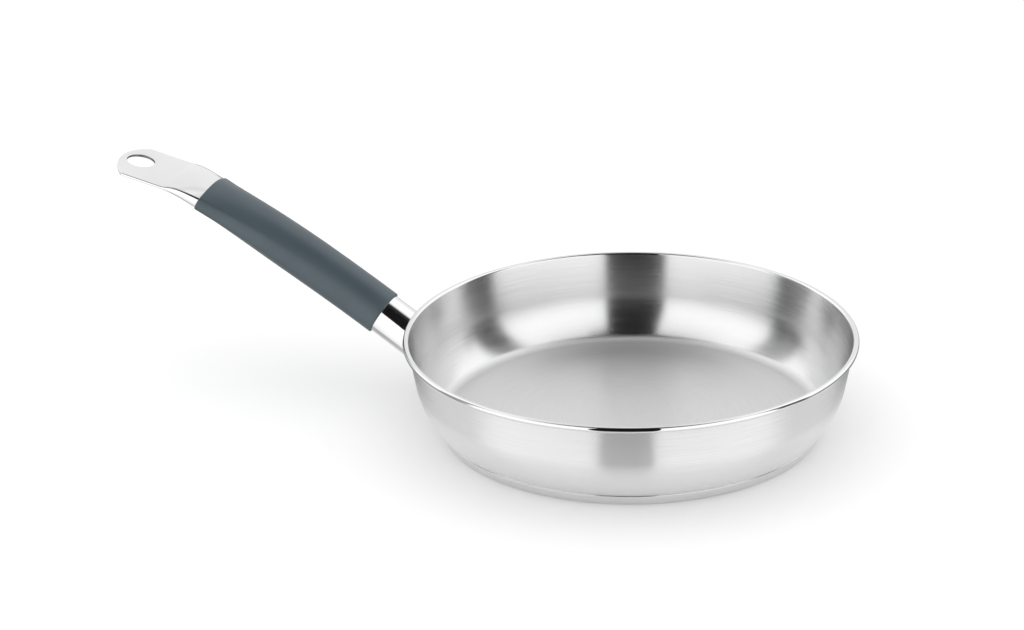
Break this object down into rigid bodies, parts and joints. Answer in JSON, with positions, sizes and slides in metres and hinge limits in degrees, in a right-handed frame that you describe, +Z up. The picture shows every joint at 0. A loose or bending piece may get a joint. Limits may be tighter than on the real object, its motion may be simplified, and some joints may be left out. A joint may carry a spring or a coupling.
{
  "type": "frying pan",
  "caption": "Stainless steel frying pan with a rolled rim, a bonded base and a round tube handle that wears a grey silicone sleeve, widens and is pressed flat into a hanging tab.",
  "frame": {"origin": "centre of the base's underside, where the pan stands on the hob", "axes": "+Z up out of the bowl, handle along -X, +Y to the side"},
  "size_m": [0.4145, 0.24, 0.1173],
  "materials": {
    "bowl_steel": "brushed",
    "disc_aluminium": "mill",
    "base_steel": "brushed",
    "tube_steel": "polished",
    "weld_steel": "satin",
    "grip_silicone": "matte"
  },
  "bodies": {
    "root": {"bowl": "bowl_steel", "heat_disc": "disc_aluminium", "base_cap": "base_steel", "handle_tube": "tube_steel", "weld_bead": "weld_steel", "grip_sleeve": "grip_silicone"}
  },
  "joints": []
}
